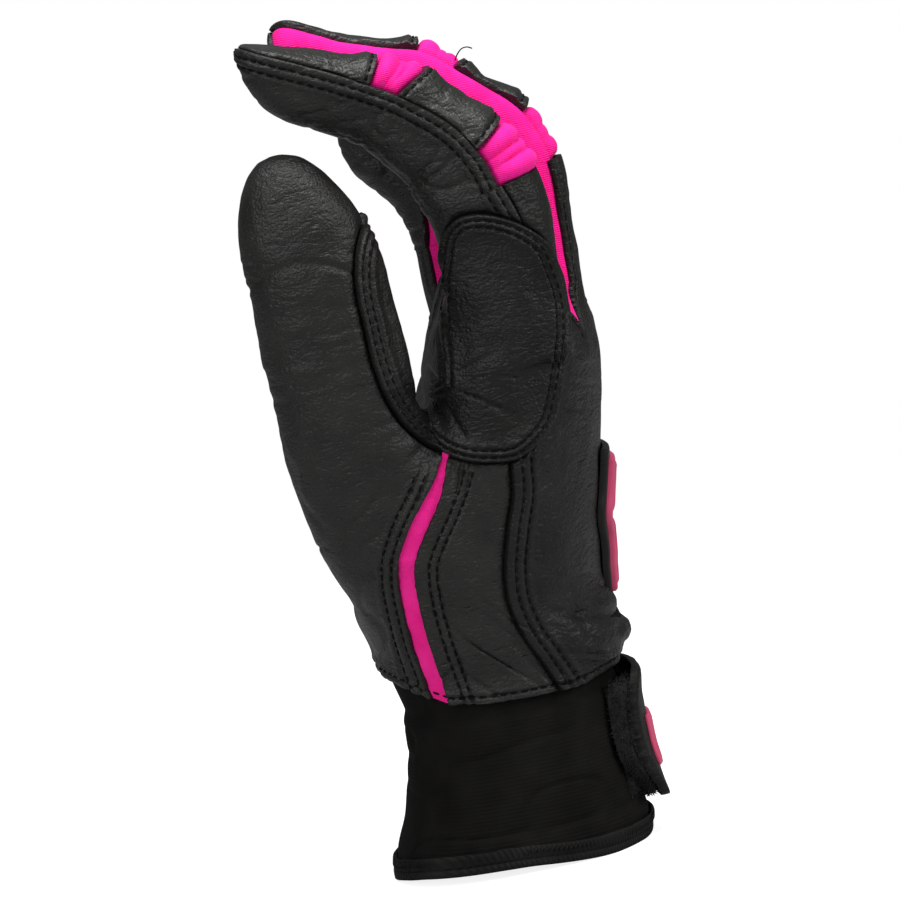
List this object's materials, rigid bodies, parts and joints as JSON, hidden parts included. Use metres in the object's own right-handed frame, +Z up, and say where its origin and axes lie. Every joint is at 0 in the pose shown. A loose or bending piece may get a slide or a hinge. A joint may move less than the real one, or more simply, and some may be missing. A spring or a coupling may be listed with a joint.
{
  "type": "batting glove",
  "caption": "Right-hand leather batting glove with stretch finger walls and knuckle bands, a knitted cuff and a hook-and-loop wrist strap.",
  "frame": {"origin": "middle of the footprint of the bounding box, on the plane that the cuff hem stands on", "axes": "+Z up the hand from the cuff to the fingertips, +X out of the back of the hand, -X palm side, -Y thumb side, +Y little-finger side"},
  "size_m": [0.078, 0.0946, 0.2076],
  "materials": {
    "palm_leather": "fine-grained black goat leather, soft satin",
    "back_leather": "fine-grained black goat leather, a little shinier than the palm",
    "fourchette_spandex": "hot pink stretch fabric, matt with a soft sheen",
    "flex_spandex": "hot pink pleated stretch fabric",
    "accent_suede": "hot pink microfibre strip",
    "neoprene": "black knitted-face neoprene, matt, fine ribs",
    "hem_tape": "black binding tape with zigzag stitching",
    "strap_skin": "black moulded strap face, satin",
    "hook_and_loop": "black hook-and-loop pile",
    "pink_rubber": "pink soft rubber, plain",
    "black_rubber": "black soft rubber, satin"
  },
  "bodies": {
    "root": {"thumb_crease": "palm_leather", "crotch_gusset": "palm_leather", "index_middle_web": "fourchette_spandex", "middle_ring_web": "fourchette_spandex", "ring_little_web": "fourchette_spandex", "accent_strip": "accent_suede", "side_panel": "back_leather", "back_panel": "back_leather", "palm_leather": "palm_leather", "index_knuckle_band": "flex_spandex", "index_crease": "palm_leather", "middle_knuckle_band": "flex_spandex", "middle_crease": "palm_leather", "ring_knuckle_band": "flex_spandex", "ring_crease": "palm_leather", "little_knuckle_band": "flex_spandex", "little_crease": "palm_leather", "cuff_band": "neoprene", "cuff_hem": "hem_tape", "cuff_loop_patch": "hook_and_loop", "back_badge_base": "black_rubber", "back_badge_pad": "pink_rubber"},
    "index_finger": {"index_middle_back": "back_leather", "index_tip_band": "flex_spandex", "index_tip_back": "back_leather", "index_front": "palm_leather", "index_wall_little_side": "fourchette_spandex"},
    "middle_finger": {"middle_middle_back": "back_leather", "middle_tip_band": "flex_spandex", "middle_tip_back": "back_leather", "middle_front": "palm_leather", "middle_wall_little_side": "fourchette_spandex", "middle_wall_thumb_side": "fourchette_spandex"},
    "ring_finger": {"ring_middle_back": "back_leather", "ring_tip_band": "flex_spandex", "ring_tip_back": "back_leather", "ring_front": "palm_leather", "ring_wall_little_side": "fourchette_spandex", "ring_wall_thumb_side": "fourchette_spandex"},
    "little_finger": {"little_middle_back": "back_leather", "little_tip_band": "flex_spandex", "little_tip_back": "back_leather", "little_front": "palm_leather", "little_wall_thumb_side": "fourchette_spandex"},
    "thumb_tip": {"thumb_cap": "palm_leather", "thumb_strip": "palm_leather"},
    "strap_flap": {"strap": "strap_skin", "strap_hook_patch": "hook_and_loop", "strap_badge": "pink_rubber"}
  },
  "joints": [
    {"name": "index_flex", "type": "hinge", "parent": "root", "child": "index_finger", "pos_m": [0.01366, -0.02988, 0.16113], "axis": [0, -1, 0], "range_deg": [-25, 6], "deforming": ["index_knuckle_band", "index_crease"]},
    {"name": "middle_flex", "type": "hinge", "parent": "root", "child": "middle_finger", "pos_m": [0.02092, -0.00816, 0.16277], "axis": [0, -1, 0], "range_deg": [-25, 40], "deforming": ["middle_knuckle_band", "middle_crease"]},
    {"name": "ring_flex", "type": "hinge", "parent": "root", "child": "ring_finger", "pos_m": [0.0153, 0.01348, 0.1593], "axis": [0, -1, 0], "range_deg": [-25, 40], "deforming": ["ring_knuckle_band", "ring_crease"]},
    {"name": "little_flex", "type": "hinge", "parent": "root", "child": "little_finger", "pos_m": [0.00561, 0.03518, 0.14782], "axis": [0, -1, 0], "range_deg": [-20, 38], "deforming": ["little_knuckle_band", "little_crease"]},
    {"name": "thumb_flex", "type": "hinge", "parent": "root", "child": "thumb_tip", "pos_m": [-0.02264, -0.03436, 0.1435], "axis": [0, 1, 0], "range_deg": [-20, 15], "deforming": ["thumb_crease"]},
    {"name": "strap_peel", "type": "hinge", "parent": "root", "child": "strap_flap", "pos_m": [0.02456, 0.02704, 0.024], "axis": [0, 0, 1], "range_deg": [0, 110]}
  ]
}
